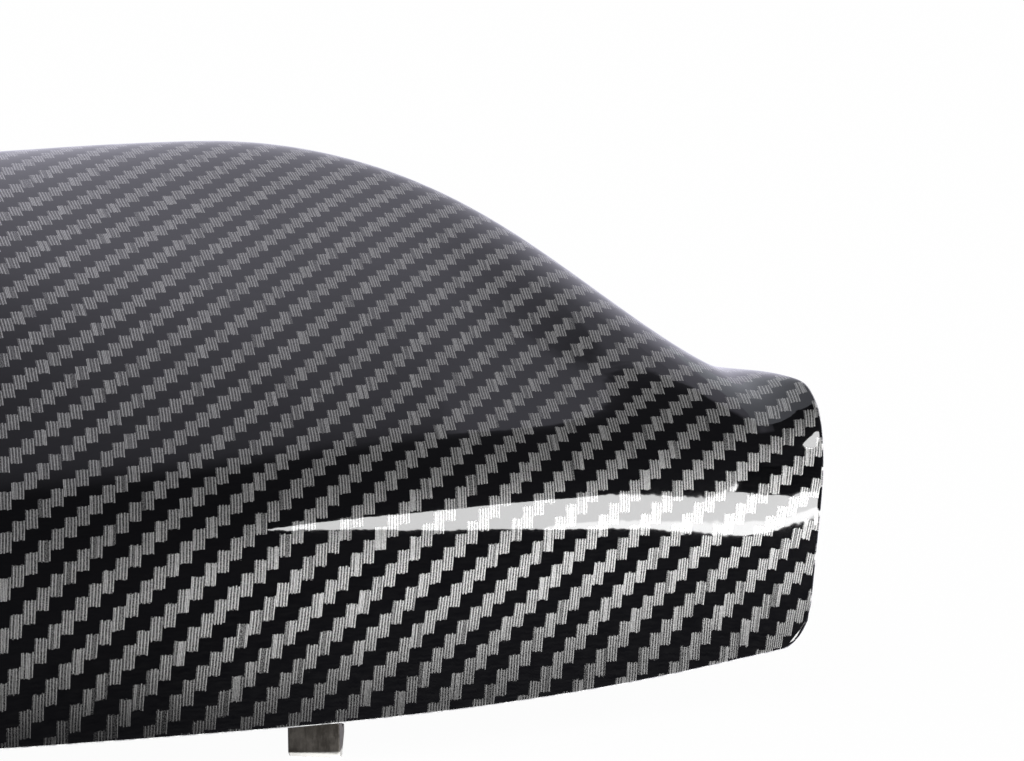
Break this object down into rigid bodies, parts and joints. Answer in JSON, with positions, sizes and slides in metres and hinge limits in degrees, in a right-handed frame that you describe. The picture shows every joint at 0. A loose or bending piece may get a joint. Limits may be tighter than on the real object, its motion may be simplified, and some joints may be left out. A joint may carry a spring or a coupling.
{
  "type": "wing mirror cover",
  "caption": "Push-fit cover for a car's wing mirror: a thin domed shell with a carbon-look twill film, open below and at its inboard end, with snap tabs round the rim.",
  "frame": {"origin": "on the plane of the tabs' feet, below the middle of the cover's overall box", "axes": "+X towards the inboard end, -Y towards the upright wall beside the mirror glass, +Z from the open side towards the crown"},
  "size_m": [0.2381, 0.1544, 0.0909],
  "materials": {
    "shell": "clear-coated carbon-look twill film outside, bare moulded black plastic inside and on the tabs"
  },
  "bodies": {
    "root": {"mirror_cover": "shell"}
  },
  "joints": []
}
